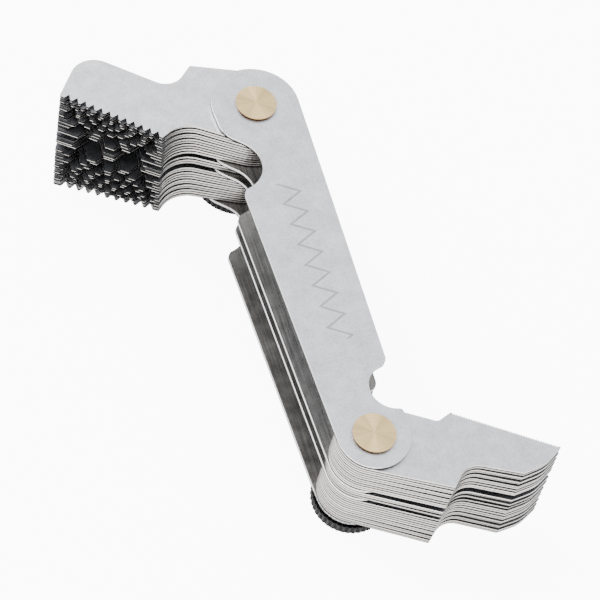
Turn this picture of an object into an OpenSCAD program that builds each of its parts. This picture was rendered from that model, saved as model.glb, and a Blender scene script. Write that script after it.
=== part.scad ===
// Folding screw pitch gauge. Four flat steel plates of one outline are clamped on two pivot screws.
// Each screw carries a fan of toothed leaves that swing out between the plates. The tool lies flat on
// its two knurled nuts, with the brass screw heads up and both fans swung out.

/* [Plates] */
// Distance between the two pivots
pivot_span = 55.5; // [54:0.5:62]
// Radius of the plates' end round the upper pivot
big_end_r = 6.45; // [6.2:0.05:6.8]
// Radius of the plates' end round the lower pivot
small_end_r = 5.05; // [4.8:0.05:5.4]
// Thickness of each of the four plates
plate_t = 0.65; // [0.5:0.05:1]
// Radius of the finger notch near the upper pivot
big_notch_r = 4.45; // [4:0.05:4.55]
// Radius of the finger notch near the lower pivot
small_notch_r = 3.5; // [3:0.05:3.8]

/* [Leaves] */
// Thickness of one leaf
leaf_t = 0.44; // [0.3:0.02:0.6]
// Average play between one leaf and the next
leaf_gap = 0.09; // [0.06:0.01:0.14]
// How far the front upper leaf stands open from its folded place, in degrees
upper_open = 105; // [60:1:150]
// How much less open the rearmost upper leaf stands, in degrees
upper_fan = 9.5; // [0:0.5:20]
// How far the front lower leaf stands open from its folded place, in degrees
lower_open = 110; // [60:1:150]
// How much more open the rearmost lower leaf stands, in degrees
lower_fan = 3.5; // [0:0.5:10]
// How far single leaves stray from an even fan, in degrees
fan_stray = 0.3; // [0:0.05:0.5]

/* [Screws and nuts] */
// Radius of the brass screw heads
head_r = 3; // [2.5:0.1:3.5]
// Height of the brass screw heads
head_h = 0.5; // [0.4:0.1:1.2]
// Radius of the screw shanks that the leaves turn on
shank_r = 1.6; // [1.2:0.1:1.8]
// Radial play of each leaf on its shank
pivot_play = 0.05; // [0.02:0.01:0.1]
// Thickness of the knurled nuts
nut_t = 1.75; // [1.25:0.1:2.55]
// How far the nuts stand out past the plates' ends
nut_overhang = 0.45; // [0.05:0.05:0.6]
// Spacing of the knurls
knurl_pitch = 0.8; // [0.6:0.1:1.2]
// Depth of the knurls
knurl_depth = 0.22; // [0.1:0.02:0.3]

/* [Hidden] */
// Leaves between the front cover and the front divider, between the dividers, and behind them
front_leaves = 11;
middle_leaves = 3;
rear_leaves = 12;
leaf_count = front_leaves + middle_leaves + rear_leaves;
leaf_numbers = [for (i = [1 : leaf_count]) str(i < 10 ? "0" : "", i)];
upper_names = [for (n = leaf_numbers) str("upper_leaf_", n)];
lower_names = [for (n = leaf_numbers) str("lower_leaf_", n)];

// The open tool is centred on the origin in plan, so the pivots stand off to its right and to each side.
mid_x = 1.5;
mid_y = -0.83;
upper_pivot = [mid_x, mid_y + pivot_span / 2];
lower_pivot = [mid_x, mid_y - pivot_span / 2];

// Heights, built up from the face of the nuts that the tool lies on. Leaf 1 is the frontmost, on top.
leaf_step = leaf_t + leaf_gap;
seat_gap = 0.02;
rear_cover_z = nut_t + seat_gap;
rear_divider_z = rear_cover_z + plate_t + rear_leaves * leaf_step + seat_gap;
front_divider_z = rear_divider_z + plate_t + middle_leaves * leaf_step + seat_gap;
front_cover_z = front_divider_z + plate_t + front_leaves * leaf_step + seat_gap;
front_face_z = front_cover_z + plate_t;
function slot_z(i) = i <= front_leaves ? front_cover_z - i * leaf_step
    : i <= front_leaves + middle_leaves ? front_divider_z - (i - front_leaves) * leaf_step
    : rear_divider_z - (i - front_leaves - middle_leaves) * leaf_step;

// Each leaf rests a little high or low in its share of the stack, so some gaps are wider than others.
rest_share = 0.5;
rest_spread = 0.25;
rest_turn = 140;
function leaf_z(i) = slot_z(i) + leaf_gap * (rest_share + rest_spread * sin(i * rest_turn));

// Thread pitches of the leaves from front to rear, in millimetres and then in threads per inch
inch = 25.4;
upper_mm = [1.25, 1.5, 1.75, 2, 2.5, 3, 3.5, 4, 4.5, 5, 5.5, 6];
upper_tpi = [4, 4.5, 5, 6, 7, 8, 9, 10, 11, 12, 13, 14, 16, 18];
lower_mm = [0.35, 0.4, 0.45, 0.5, 0.6, 0.7, 0.75, 0.8, 0.9, 1, 1.1, 1.2];
lower_tpi = [19, 20, 22, 24, 25, 26, 27, 28, 30, 32, 36, 40, 48, 56];
upper_pitches = concat(upper_mm, [for (t = upper_tpi) inch / t]);
lower_pitches = concat(lower_mm, [for (t = lower_tpi) inch / t]);

// An outline is a chain of circles, each [x, y, radius], joined by tangents. A negative radius is a
// hollow. The chain runs counter-clockwise, and each circle gives an arc from one tangent to the next.
arc_step = 6;
function circle_at(c, i) = c[(i + len(c)) % len(c)];
function tangent_angle(a, b) =
    let (dx = b[0] - a[0], dy = b[1] - a[1])
    atan2(dy, dx) - acos((a[2] - b[2]) / norm([dx, dy]));
function turn(a, b) = let (d = b - a) d - 360 * floor(d / 360);
function arc_points(c, from, to) =
    let (sweep = c[2] > 0 ? turn(from, to) : -turn(to, from), n = max(1, ceil(abs(sweep) / arc_step)))
    [for (k = [0 : n]) let (t = from + sweep * k / n) [c[0] + c[2] * cos(t), c[1] + c[2] * sin(t)]];
function chain_points(chain, i) =
    let (c = circle_at(chain, i))
    arc_points(c, tangent_angle(circle_at(chain, i - 1), c), tangent_angle(c, circle_at(chain, i + 1)));
function outline(chain, first, last) = [for (i = [first : last]) each chain_points(chain, i)];

// The plates' outline. The upper pivot is at the origin and the lower one straight below it. The sides
// are the tangents of the two ends. Each finger notch is a bite with a rounded corner on either side.
notch_corner_r = 1.3;
sharp_corner_r = 0.5;
shoulder = [-2.7, -2.45, 3.6];
taper = asin((big_end_r - small_end_r) / pivot_span);
left_side = [-cos(taper), -sin(taper)];
right_side = [cos(taper), -sin(taper)];
big_notch = [-6.5, -9.75, -big_notch_r];
small_notch = [5.1, -pivot_span + 6.6, -small_notch_r];
function notch_corner(notch, side, down, r) =
    let (along = [abs(side[1]) * sign(side[0]) * -1, side[0] > 0 ? -side[0] : side[0]],
        c = [notch[0], notch[1]], inset = big_end_r - r - side * c, reach = r - notch[2] + 0.02,
        q = c + side * inset + down * sqrt(reach * reach - inset * inset) * along)
    [q[0], q[1], r];
plate_chain = [
    [0, 0, big_end_r],
    shoulder,
    big_notch,
    notch_corner(big_notch, left_side, 1, notch_corner_r),
    [0, -pivot_span, small_end_r],
    notch_corner(small_notch, right_side, 1, sharp_corner_r),
    small_notch,
    notch_corner(small_notch, right_side, -1, notch_corner_r)
];

// The leaves' outlines. The pivot is at the origin, and a folded leaf would lie along +X with its teeth
// towards +Y. From the root the chain runs along the back over the finger tab and its hollow to the round
// head, then from the tip's corner back along the teeth to the heel's corner and the bay behind it.
corner_r = 0.15;
upper_root_r = big_end_r - 0.05;
upper_chain = [
    [0, 0, upper_root_r],
    [9.1, -6.15, 0.5],
    [13.2, -6, -3],
    [22.95, -2.65, 3.72],
    [27.65, 0.4, 0.35],
    [13.45, 6.55, 0.12],
    [9.15, 9, -4.75]
];
lower_root_r = small_end_r - 0.05;
lower_chain = [
    [0, 0, lower_root_r],
    [11.15, -5.7, 0.3],
    [14.9, -5.2, -3],
    [20.6, -2.2, 0.3],
    [19.5, 3.79, 6],
    [25.55, 2.15, corner_r],
    [10.5, 5.22, corner_r],
    [8.5, 4.6, -0.8]
];

// Teeth have straight 60 degree flanks, a flat crest and a narrow root. The tip and the heel are crests.
crest_share = 0.24;
root_share = 0.04;
function groove(p) =
    let (crest = crest_share * p / 2, root = root_share * p / 2, depth = (p / 2 - crest - root) / tan(30))
    [[crest, 0], [p / 2 - root, depth], [p / 2 + root, depth], [p - crest, 0]];
function teeth_points(tip, heel, pitch) =
    let (span = norm(heel - tip), along = (heel - tip) / span, inward = [-along[1], along[0]],
        n = floor(span / pitch), spare = (span - n * pitch) / 2)
    [for (k = [0 : n - 1]) for (g = groove(pitch)) tip + along * (spare + k * pitch + g[0]) + inward * g[1]];
function leaf_outline(chain, pitch) =
    let (heel = len(chain) - 2, tip_pts = chain_points(chain, heel - 1), heel_pts = chain_points(chain, heel))
    concat(outline(chain, 0, heel - 1), teeth_points(tip_pts[len(tip_pts) - 1], heel_pts[0], pitch),
        outline(chain, heel, len(chain) - 1));

// Each leaf of a fan stands at its own angle between the front one and the rearmost one.
function fan_share(i) = (i - 1) / (leaf_count - 1);
stray_turn = 200;
function stray(i) = i == 1 ? 0 : fan_stray * sin(i * stray_turn);
function upper_angle(i) = 270 - upper_open + upper_fan * fan_share(i) + stray(i);
function lower_angle(i) = 90 - lower_open - lower_fan * fan_share(i) + stray(i);

fine = 64;

module plate(z) {
    color("gainsboro")
        translate([upper_pivot[0], upper_pivot[1], z])
            difference() {
                linear_extrude(plate_t) polygon(outline(plate_chain, 0, len(plate_chain) - 1));
                for (y = [0, -pivot_span])
                    translate([0, y, -1]) cylinder(h = plate_t + 2, r = shank_r + 0.02, $fn = fine);
            }
}

module leaf(pivot, angle, z, chain, pitch) {
    color("silver")
        translate([pivot[0], pivot[1], z])
            rotate([0, 0, angle])
                difference() {
                    linear_extrude(leaf_t) polygon(leaf_outline(chain, pitch));
                    translate([0, 0, -1]) cylinder(h = leaf_t + 2, r = shank_r + pivot_play, $fn = fine);
                }
}

module screw(pivot) {
    edge = 0.1;
    tip_inset = 0.2;
    color("goldenrod")
        translate([pivot[0], pivot[1], 0])
            rotate_extrude($fn = fine)
                polygon([
                    [0, tip_inset],
                    [shank_r - edge, tip_inset],
                    [shank_r, tip_inset + edge],
                    [shank_r, front_face_z],
                    [head_r, front_face_z],
                    [head_r, front_face_z + head_h - edge],
                    [head_r - edge, front_face_z + head_h],
                    [0, front_face_z + head_h]
                ]);
}

module knurled_nut(pivot, end_r) {
    rim_r = end_r + nut_overhang;
    knurls = round(2 * PI * rim_r / knurl_pitch);
    chamfer = 0.25;
    color("black")
        translate([pivot[0], pivot[1], 0])
            difference() {
                intersection() {
                    linear_extrude(nut_t)
                        polygon([for (k = [0 : 2 * knurls - 1])
                            let (r = rim_r - (k % 2) * knurl_depth, a = 180 * k / knurls)
                            [r * cos(a), r * sin(a)]]);
                    rotate_extrude($fn = fine)
                        polygon([
                            [0, 0],
                            [rim_r - chamfer, 0],
                            [rim_r + 0.1, chamfer + 0.1],
                            [rim_r + 0.1, nut_t],
                            [0, nut_t]
                        ]);
                }
                translate([0, 0, -1]) cylinder(h = nut_t + 2, r = shank_r + pivot_play, $fn = fine);
            }
}

plate(front_cover_z);  // front_cover
plate(front_divider_z);  // front_divider
plate(rear_divider_z);  // rear_divider
plate(rear_cover_z);  // rear_cover
screw(upper_pivot);  // upper_screw
screw(lower_pivot);  // lower_screw
knurled_nut(upper_pivot, big_end_r);  // upper_nut
knurled_nut(lower_pivot, small_end_r);  // lower_nut
for (i = [1 : leaf_count]) leaf(upper_pivot, upper_angle(i), leaf_z(i), upper_chain, upper_pitches[i - 1]);
for (i = [1 : leaf_count]) leaf(lower_pivot, lower_angle(i), leaf_z(i), lower_chain, lower_pitches[i - 1]);
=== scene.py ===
import math
import bpy
from mathutils import Matrix, Vector


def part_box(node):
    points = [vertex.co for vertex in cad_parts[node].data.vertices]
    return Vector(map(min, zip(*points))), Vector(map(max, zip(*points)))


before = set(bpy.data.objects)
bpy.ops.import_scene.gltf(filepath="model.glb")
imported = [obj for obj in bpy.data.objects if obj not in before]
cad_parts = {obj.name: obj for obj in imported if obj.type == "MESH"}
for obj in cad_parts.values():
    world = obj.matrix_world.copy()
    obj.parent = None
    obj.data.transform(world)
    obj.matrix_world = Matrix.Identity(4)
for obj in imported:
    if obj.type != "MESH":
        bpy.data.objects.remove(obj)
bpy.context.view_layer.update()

# ---- Front cover ------------------------------------------------------------------------------------
# The outermost of the four flat plates that the leaves fold between. It is blanked from cold-rolled steel
# strip and barrel-finished, then clamped under the heads of the two screws. A row of plain 60 degree thread
# grooves is etched faintly along its middle.

MM = 0.001


def linear(hex_colour):
    """The linear RGBA of an sRGB hex colour."""
    srgb = [int(hex_colour[i:i + 2], 16) / 255 for i in (1, 3, 5)]
    return [c / 12.92 if c <= 0.04045 else ((c + 0.055) / 1.055) ** 2.4 for c in srgb] + [1.0]


def output(source):
    """The socket itself, or the first output in use of a node."""
    if isinstance(source, bpy.types.Node):
        source = next(o for o in source.outputs if o.enabled)
    return source


def add(tree, kind, inputs=None, **settings):
    """Adds a node with its settings. Each input is set to a value, or linked to a socket or to a node's
    first output in use."""
    node = tree.nodes.new("ShaderNode" + kind)
    for name, value in settings.items():
        setattr(node, name, value)
    for key, value in (inputs or {}).items():
        named = [s for s in node.inputs if s.enabled and s.name == key]
        socket = named[0] if named else node.inputs[key]
        if isinstance(value, (bpy.types.Node, bpy.types.NodeSocket)):
            tree.links.new(output(value), socket)
        else:
            socket.default_value = value
    return node


def start(name, metallic, roughness):
    """A new material with a Principled shader: returns the material, its tree and the shader."""
    material = bpy.data.materials.new(name)
    material.use_nodes = True
    tree = material.node_tree
    tree.nodes.clear()
    shader = add(tree, "BsdfPrincipled", {"Metallic": metallic, "Roughness": roughness})
    add(tree, "OutputMaterial", {"Surface": shader})
    return material, tree, shader


def feed(tree, shader, **sources):
    """Links sources to the shader's inputs, where an underscore stands for a space in a socket's name."""
    for name, source in sources.items():
        tree.links.new(output(source), shader.inputs[name.replace("_", " ")])


def dress(material, *names):
    """Puts the material on the named CAD nodes."""
    for name in names:
        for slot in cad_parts[name].material_slots:
            slot.material = material


def steel_surface(name, face, edge, torn_edge_and_shade, grain_along, grain_strength, dullest_edge, torn_share):
    """Satin steel: a clouded, finely scratched face and a brighter sheared edge over a near-black band, which
    is the torn zone and painted shade under the edge. The colour of face, edge and that band, the length of the
    grain in mm, how strongly it shows, how dull the dullest edge is and the share of its height that is torn
    differ from piece to piece."""
    material, tree, shader = start(name, 1.0, 0.38)
    place = add(tree, "TexCoord")
    cloud_size, grit_size, grain_width, sheet_step = 2.2 * MM, 0.3 * MM, 0.16 * MM, 0.8 * MM
    cloud_contrast, grit_contrast = 0.40, 0.50
    # Barrel finishing leaves soft clouds about 2 mm across.
    clouds = add(tree, "TexNoise", {"Vector": place.outputs["Object"], "Scale": 1 / cloud_size, "Detail": 4.0,
                                    "Roughness": 0.6})
    # The grit leaves marks of 0.05 mm, drawn 0.3 mm wide so that they show.
    grit = add(tree, "TexNoise", {"Vector": place.outputs["Object"], "Scale": 1 / grit_size, "Detail": 2.0})
    # Rolling marks run along the strip.
    stretched = add(tree, "Mapping", {"Vector": place.outputs["Object"],
                                      "Scale": (1 / grain_width, 1 / (grain_along * MM), 1 / grain_width)})
    grain = add(tree, "TexNoise", {"Vector": stretched, "Scale": 1.0, "Detail": 3.0})
    tone = add(tree, "Math", {0: clouds, 1: 0.5}, operation="SUBTRACT")
    tone = add(tree, "Math", {0: tone, 1: cloud_contrast, 2: 1.0}, operation="MULTIPLY_ADD")
    fine = add(tree, "Math", {0: grit, 1: 0.5}, operation="SUBTRACT")
    tone = add(tree, "Math", {0: fine, 1: grit_contrast, 2: tone}, operation="MULTIPLY_ADD")
    lines = add(tree, "Math", {0: grain, 1: 0.5}, operation="SUBTRACT")
    tone = add(tree, "Math", {0: lines, 1: grain_strength, 2: tone}, operation="MULTIPLY_ADD")
    facing = add(tree, "SeparateXYZ", {"Vector": place.outputs["Normal"]})
    flat = add(tree, "Math", {0: facing.outputs["Z"]}, operation="ABSOLUTE")
    flat = add(tree, "Math", {0: flat, 1: 0.5}, operation="GREATER_THAN")
    # Shearing leaves a bright band above and a torn one below, and differs a little from sheet to sheet. The
    # torn band is painted near-black: partly its own dull colour, partly painted shade for the shadow line
    # under the edge.
    thick = add(tree, "SeparateXYZ", {"Vector": place.outputs["Generated"]})
    torn = add(tree, "MapRange", {"Value": thick.outputs["Z"], "From Min": torn_share,
                                  "From Max": torn_share + 0.14})
    level = add(tree, "SeparateXYZ", {"Vector": place.outputs["Object"]})
    sheet = add(tree, "TexNoise", {"W": level.outputs["Z"], "Scale": 1 / sheet_step, "Detail": 0.0},
                noise_dimensions="1D")
    sheet = add(tree, "MapRange", {"Value": sheet, "From Min": 0.3, "From Max": 0.7, "To Min": dullest_edge})
    bright = add(tree, "Math", {0: torn, 1: sheet}, operation="MULTIPLY")
    sheared = add(tree, "Mix", {"Factor": bright, "A": linear(torn_edge_and_shade), "B": linear(edge)}, data_type="RGBA")
    colour = add(tree, "Mix", {"Factor": flat, "A": sheared, "B": linear(face)}, data_type="RGBA")
    shade = add(tree, "CombineColor", {0: tone, 1: tone, 2: tone})
    colour = add(tree, "Mix", {"Factor": 1.0, "A": colour, "B": shade}, data_type="RGBA", blend_type="MULTIPLY")
    rough = add(tree, "MapRange", {"Value": clouds, "From Min": 0.3, "From Max": 0.7, "To Min": 0.34,
                                   "To Max": 0.46})
    feed(tree, shader, Roughness=rough)
    relief = add(tree, "Math", {0: fine, 1: 0.5, 2: lines}, operation="MULTIPLY_ADD")
    bump = add(tree, "Bump", {"Height": relief, "Strength": 0.25, "Distance": 0.03 * MM})
    feed(tree, shader, Normal=bump)
    return material, tree, shader, colour


material, tree, shader, colour = steel_surface("barrel_finished_steel", "#DCDEE4", "#FFFFFF", "#1E1C1A",
                                               8.0, 0.10, 1.0, 0.5)
# The etched row: a zigzag of 3 mm deep grooves, whose pitch gives each the 60 degrees of a metric thread.
low, high = (Vector(c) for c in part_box("front_cover"))
place = add(tree, "TexCoord")
spot = add(tree, "SeparateXYZ", {"Vector": place.outputs["Object"]})
etch_x = (low.x + high.x) / 2 + 0.4 * MM
etch_top, etch_end = high.y - 20.5 * MM, high.y - 47.0 * MM
across = add(tree, "Math", {0: spot.outputs["X"], 1: etch_x}, operation="SUBTRACT")
down = add(tree, "Math", {0: etch_top, 1: spot.outputs["Y"]}, operation="SUBTRACT")
etch_depth, stroke = 1.5 * MM, 0.17 * MM
etch_pitch = 2 * (2 * etch_depth) * math.tan(math.radians(30))
wave = add(tree, "Math", {0: down, 1: etch_pitch / 2}, operation="PINGPONG")
wave = add(tree, "Math", {0: wave, 1: 2 * etch_depth / etch_pitch * 2, 2: -etch_depth},
           operation="MULTIPLY_ADD")
off = add(tree, "Math", {0: across, 1: wave}, operation="SUBTRACT")
off = add(tree, "Math", {0: off}, operation="ABSOLUTE")
line = add(tree, "MapRange", {"Value": off, "From Min": stroke * 1.2, "From Max": stroke * 2.4, "To Min": 1.0,
                              "To Max": 0.0})
inside = add(tree, "Math", {0: down, 1: 0.0}, operation="GREATER_THAN")
before = add(tree, "Math", {0: down, 1: etch_top - etch_end}, operation="LESS_THAN")
line = add(tree, "Math", {0: line, 1: inside}, operation="MULTIPLY")
line = add(tree, "Math", {0: line, 1: before}, operation="MULTIPLY")
etched = add(tree, "Mix", {"Factor": 1.0, "A": colour, "B": linear("#C8C8C8")}, data_type="RGBA",
             blend_type="MULTIPLY")
colour = add(tree, "Mix", {"Factor": line, "A": colour, "B": etched}, data_type="RGBA")
feed(tree, shader, Base_Color=colour)
dress(material, "front_cover")

# ---- Dividers and rear cover ------------------------------------------------------------------------
# Three more plates of the cover's outline: two thin dividers that keep the leaves in groups, and the rear
# cover. Their faces are painted darker than the front as painted shade for the shade they lie in, and they show
# the rolling marks lengthwise.

# The dark grey face is painted shade.
material, tree, shader, colour = steel_surface("shade_painted_steel_strip", "#82817F", "#FFFFFF", "#2A2826",
                                               14.0, 1.8, 1.0, 0.28)
feed(tree, shader, Base_Color=colour)
dress(material, "front_divider", "rear_divider", "rear_cover")

# ---- Upper leaves -----------------------------------------------------------------------------------
# Twenty-six thin gauge leaves with a row of coarse V teeth each, stamped from hardened spring steel, ground
# flat and milled along the toothed side. They turn on the upper screw. The two outermost are bright, and the
# faces of the ones between are painted as dark as the dividers, as painted shade for the shade between leaves.

pivot = (Vector(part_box("upper_screw")[0]) + Vector(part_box("upper_screw")[1])) / 2
outer_leaves, inner_leaves = (1, 26), range(2, 26)
teeth_face = math.radians(237.6)
teeth_start = 14.4 * MM
# The second material is a painted-shade copy of the first: the same steel with a darker face.
for name, face, leaves in (("bright_spring_steel_coarse", "#E4E6EA", outer_leaves),
                           ("shade_painted_spring_steel_coarse", "#7C7E82", inner_leaves)):
    material, tree, shader, colour = steel_surface(name, face, "#FAF6F0", "#242220", 3.0, 0.08, 0.62, 0.28)
    # The V teeth face about 238 degrees round from +X. Their flanks are painted near-black as painted shade,
    # and the lower rim of each is painted light as a painted highlight.
    place = add(tree, "TexCoord")
    side = add(tree, "VectorMath", {0: place.outputs["Normal"],
                                    1: (math.cos(teeth_face), math.sin(teeth_face), 0)},
               operation="DOT_PRODUCT")
    flank = add(tree, "MapRange", {"Value": side.outputs["Value"], "From Min": 0.2, "From Max": 0.32})
    arm = add(tree, "VectorMath", {0: place.outputs["Object"], 1: (pivot.x, pivot.y, 0)}, operation="SUBTRACT")
    arm = add(tree, "VectorMath", {0: arm, 1: (1, 1, 0)}, operation="MULTIPLY")
    reach = add(tree, "VectorMath", {0: arm}, operation="LENGTH")
    beyond = add(tree, "Math", {0: reach.outputs["Value"], 1: teeth_start}, operation="GREATER_THAN")
    flank = add(tree, "Math", {0: flank, 1: beyond}, operation="MULTIPLY")
    height = add(tree, "SeparateXYZ", {"Vector": place.outputs["Generated"]})
    # Painted highlight: the bottom of each flank is light, and the rest of the flank is painted shade.
    rim = add(tree, "MapRange", {"Value": height.outputs["Z"], "From Min": 0.14, "From Max": 0.28})
    flank_shade_and_rim_highlight = add(tree, "Mix", {"Factor": rim, "A": linear("#E6E2DC"), "B": linear("#141416")}, data_type="RGBA")
    colour = add(tree, "Mix", {"Factor": flank, "A": colour, "B": flank_shade_and_rim_highlight}, data_type="RGBA")
    feed(tree, shader, Base_Color=colour)
    dress(material, *[f"upper_leaf_{i:02d}" for i in leaves])

# ---- Lower leaves -----------------------------------------------------------------------------------
# Twenty-six narrower leaves for the fine threads, of the same ground spring steel, on the lower screw. Their
# teeth are too small to show dark flanks, so the whole edge is as bright as sheared steel. As above, the faces
# of all but the two outermost are painted dark as painted shade.

# The second material is a painted-shade copy of the first: the same steel with a darker face.
for name, face, leaves in (("bright_spring_steel_fine", "#DADCE1", outer_leaves),
                           ("shade_painted_spring_steel_fine", "#7C7E82", inner_leaves)):
    material, tree, shader, colour = steel_surface(name, face, "#FAF6F0", "#242220", 3.0, 0.08, 0.62, 0.28)
    feed(tree, shader, Base_Color=colour)
    dress(material, *[f"lower_leaf_{i:02d}" for i in leaves])

# ---- Pivot screws -----------------------------------------------------------------------------------
# A flat-headed brass screw through the plates and leaves at each end, turned on a lathe. Facing the head
# leaves fine rings that throw a fan of light, and its thin side is coloured dark brown.

material, tree, shader = start("turned_brass", 1.0, 0.32)
place = add(tree, "TexCoord")
tangent = add(tree, "Tangent", direction_type="RADIAL", axis="Z")
shader.inputs["Anisotropic"].default_value = 0.75
feed(tree, shader, Tangent=tangent)
middle = add(tree, "VectorMath", {0: place.outputs["Generated"], 1: (0.5, 0.5, 0)}, operation="SUBTRACT")
head_size = 6 * MM
middle = add(tree, "VectorMath", {0: middle, 1: (head_size, head_size, 0)}, operation="MULTIPLY")
radius = add(tree, "VectorMath", {0: middle}, operation="LENGTH")
ring_pitch = 0.18 * MM
rings = add(tree, "TexNoise", {"W": radius.outputs["Value"], "Scale": 1 / ring_pitch, "Detail": 2.0},
            noise_dimensions="1D")
facing = add(tree, "SeparateXYZ", {"Vector": place.outputs["Normal"]})
flat = add(tree, "Math", {0: facing.outputs["Z"], 1: 0.3}, operation="GREATER_THAN")
warm = add(tree, "Mix", {"Factor": rings, "A": linear("#F2CB85"), "B": linear("#FFE6B4")}, data_type="RGBA")
# A faint fan of lighter and darker sectors is painted into the colour: a painted sheen of the turned face.
turn = add(tree, "TexGradient", {"Vector": middle}, gradient_type="RADIAL")
painted_sheen_sectors = add(tree, "TexNoise", {"W": turn.outputs["Fac"], "Scale": 9.0, "Detail": 3.0},
              noise_dimensions="1D")
painted_sheen_sectors = add(tree, "MapRange", {"Value": painted_sheen_sectors, "From Min": 0.35, "From Max": 0.65, "To Min": 0.78})
painted_sheen_sectors = add(tree, "CombineColor", {0: painted_sheen_sectors, 1: painted_sheen_sectors, 2: painted_sheen_sectors})
warm = add(tree, "Mix", {"Factor": 1.0, "A": warm, "B": painted_sheen_sectors}, data_type="RGBA", blend_type="MULTIPLY")
rough = add(tree, "MapRange", {"Value": rings, "From Min": 0.3, "From Max": 0.7, "To Min": 0.26,
                               "To Max": 0.38})
feed(tree, shader, Roughness=rough)
colour = add(tree, "Mix", {"Factor": flat, "A": linear("#4E341C"), "B": warm}, data_type="RGBA")
feed(tree, shader, Base_Color=colour)
bump = add(tree, "Bump", {"Height": rings, "Strength": 0.3, "Distance": 0.02 * MM})
feed(tree, shader, Normal=bump)
dress(material, "upper_screw", "lower_screw")

# ---- Knurled nuts -----------------------------------------------------------------------------------
# A thin straight-knurled nut on the back of each screw clamps the stack. It is steel blacked in hot oxide,
# and the crests of the knurl are rubbed lighter.

for nut in ("upper_nut", "lower_nut"):
    material, tree, shader = start("black_oxide_steel_" + nut, 1.0, 0.42)
    low, high = (Vector(c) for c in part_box(nut))
    rim = (high.x - low.x) / 2
    place = add(tree, "TexCoord")
    # Oxide crystals are far below 0.5 mm; they are drawn that coarse so that the mottling shows.
    mottle = add(tree, "TexNoise", {"Vector": place.outputs["Object"], "Scale": 1 / (0.5 * MM), "Detail": 3.0})
    black = add(tree, "Mix", {"Factor": mottle, "A": linear("#060607"), "B": linear("#171718")},
                data_type="RGBA")
    # Fingers rub the oxide off the tops of the knurl.
    axis = ((low.x + high.x) / 2, (low.y + high.y) / 2, 0)
    arm = add(tree, "VectorMath", {0: place.outputs["Object"], 1: axis}, operation="SUBTRACT")
    arm = add(tree, "VectorMath", {0: arm, 1: (1, 1, 0)}, operation="MULTIPLY")
    reach = add(tree, "VectorMath", {0: arm}, operation="LENGTH")
    worn_depth = 0.12 * MM
    worn = add(tree, "MapRange", {"Value": reach.outputs["Value"], "From Min": rim - worn_depth,
                                  "From Max": rim})
    worn = add(tree, "Math", {0: worn, 1: mottle}, operation="MULTIPLY")
    colour = add(tree, "Mix", {"Factor": worn, "A": black, "B": linear("#48484A")}, data_type="RGBA")
    feed(tree, shader, Base_Color=colour)
    rough = add(tree, "MapRange", {"Value": mottle, "From Min": 0.3, "From Max": 0.7, "To Min": 0.36,
                                   "To Max": 0.52})
    feed(tree, shader, Roughness=rough)
    bump = add(tree, "Bump", {"Height": mottle, "Strength": 0.3, "Distance": 0.03 * MM})
    feed(tree, shader, Normal=bump)
    dress(material, nut)

# ---- Floor, light and camera ------------------------------------------------------------------------
# A sheet of white paper on a table, an even white room, and one soft box high on the left behind the gauge.

bpy.ops.mesh.primitive_plane_add(size=3, location=(0, 0, 0))
floor = bpy.context.object
floor.name = "floor"
paper, tree, shader = start("white_paper", 0.0, 0.9)
shader.inputs["Base Color"].default_value = linear("#F6F6F6")
shader.inputs["Emission Color"].default_value = linear("#FFFFFF")
# The paper glows strongly to the camera, so that it burns out to white, and only weakly as a light on the
# sides of the leaves.
seen = add(tree, "LightPath")
seen_glow, cast_glow = 8.5, 0.8
glow = add(tree, "Math", {0: seen.outputs["Is Camera Ray"], 1: seen_glow, 2: cast_glow},
           operation="MULTIPLY_ADD")
feed(tree, shader, Emission_Strength=glow)
floor.data.materials.append(paper)

world = bpy.data.worlds.new("studio")
bpy.context.scene.world = world
world.use_nodes = True
walls = world.node_tree.nodes["Background"]
walls.inputs["Color"].default_value = (1, 1, 1, 1)
walls.inputs["Strength"].default_value = 1.6


def softbox(name, place, aim, size, power):
    """A square soft light at a place, turned towards its aim."""
    light = bpy.data.lights.new(name, "AREA")
    light.size = size
    light.energy = power
    lamp = bpy.data.objects.new(name, light)
    lamp.location = place
    lamp.rotation_euler = (Vector(aim) - Vector(place)).to_track_quat("-Z", "Y").to_euler()
    bpy.context.scene.collection.objects.link(lamp)


softbox("key", (-0.35, 0.45, 0.6), (0, 0, 0.01), 0.4, 6.0)

camera_data = bpy.data.cameras.new("camera")
camera_data.sensor_width = 36
camera_data.lens = 147.88
camera_data.clip_start = 0.01
camera = bpy.data.objects.new("camera", camera_data)
bpy.context.scene.collection.objects.link(camera)
bpy.context.scene.camera = camera
aim = Vector((1.29, -0.98, 9.0)) * MM
distance = 347.64
elevation, azimuth, roll = math.radians(55.4), math.radians(-31.88), math.radians(-17.67)
forward = Vector((-math.sin(azimuth) * math.cos(elevation), math.cos(azimuth) * math.cos(elevation),
                  -math.sin(elevation)))
level_up = (Vector((0, 0, 1)) - forward * forward.z).normalized()
up = Matrix.Rotation(roll, 3, forward) @ level_up
right = forward.cross(up)
camera.matrix_world = Matrix.Translation(aim - forward * distance * MM) @ Matrix(
    (right, up, -forward)).transposed().to_4x4()
